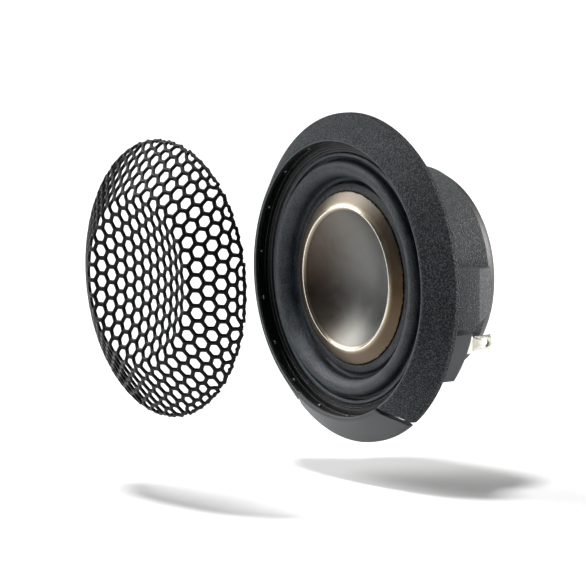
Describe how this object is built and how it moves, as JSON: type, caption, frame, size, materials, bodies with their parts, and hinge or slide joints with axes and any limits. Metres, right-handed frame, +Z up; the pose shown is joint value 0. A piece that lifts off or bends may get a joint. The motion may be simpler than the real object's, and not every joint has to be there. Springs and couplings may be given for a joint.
{
  "type": "car tweeter",
  "caption": "Flush-mount car tweeter with an inverted-dome metal diaphragm, rubber surround, flared trim ring, rear motor housing, blade terminals and a pull-off mesh grille.",
  "frame": {"origin": "centre of the trim ring, in the plane of its rear edge, which seats on the panel", "axes": "+Y from the front to the rear through the panel, so the sound leaves towards -Y; +Z up; the name key is at the bottom, on -Z"},
  "size_m": [0.0582, 0.0649, 0.0582],
  "materials": {
    "grained_plastic": "moulded grain, satin black",
    "key_plastic": "smooth, fine matte",
    "seat_plastic": "gloss black",
    "surround_rubber": "matte, slightly dusty",
    "dome_metal": "satin, champagne tint",
    "former_film": "amber film",
    "coil_wire": "enamelled copper wire",
    "body_plastic": "moulded, fine texture",
    "motor_steel": "zinc plated",
    "magnet_plate": "nickel plated sintered magnet",
    "copper": "bare copper",
    "damping_felt": "felt",
    "cover_plastic": "smooth dark brown-black",
    "board_laminate": "phenolic laminate",
    "tinned_brass": "tin plated",
    "grille_metal": "satin black paint"
  },
  "bodies": {
    "tweeter": {"bezel_ring": "grained_plastic", "name_key": "key_plastic", "lock_skirt": "key_plastic", "grille_seat": "seat_plastic", "clamp_ring": "seat_plastic", "surround": "surround_rubber", "chassis": "body_plastic", "rear_housing": "body_plastic", "pole_plate": "motor_steel", "copper_cap": "copper", "magnet": "magnet_plate", "pot_yoke": "motor_steel", "damping_pad": "damping_felt", "rear_cover": "cover_plastic", "terminal_board": "board_laminate", "terminal_positive": "tinned_brass", "terminal_negative": "tinned_brass", "terminal_rivets": "tinned_brass", "lead_positive": "copper", "lead_negative": "copper"},
    "diaphragm": {"dome": "dome_metal", "coil_former": "former_film", "voice_coil": "coil_wire"},
    "grille": {"grille_mesh": "grille_metal"}
  },
  "joints": [
    {"name": "diaphragm_travel", "type": "slide", "parent": "tweeter", "child": "diaphragm", "axis": [0, 1, 0], "range_m": [-0.0005, 0.0005], "stiffness_N_per_m": 800, "deforming": ["surround"]},
    {"name": "grille_push_on", "type": "slide", "parent": "tweeter", "child": "grille", "axis": [0, 0.9968, -0.0805], "range_m": [0, 0.03852]}
  ]
}
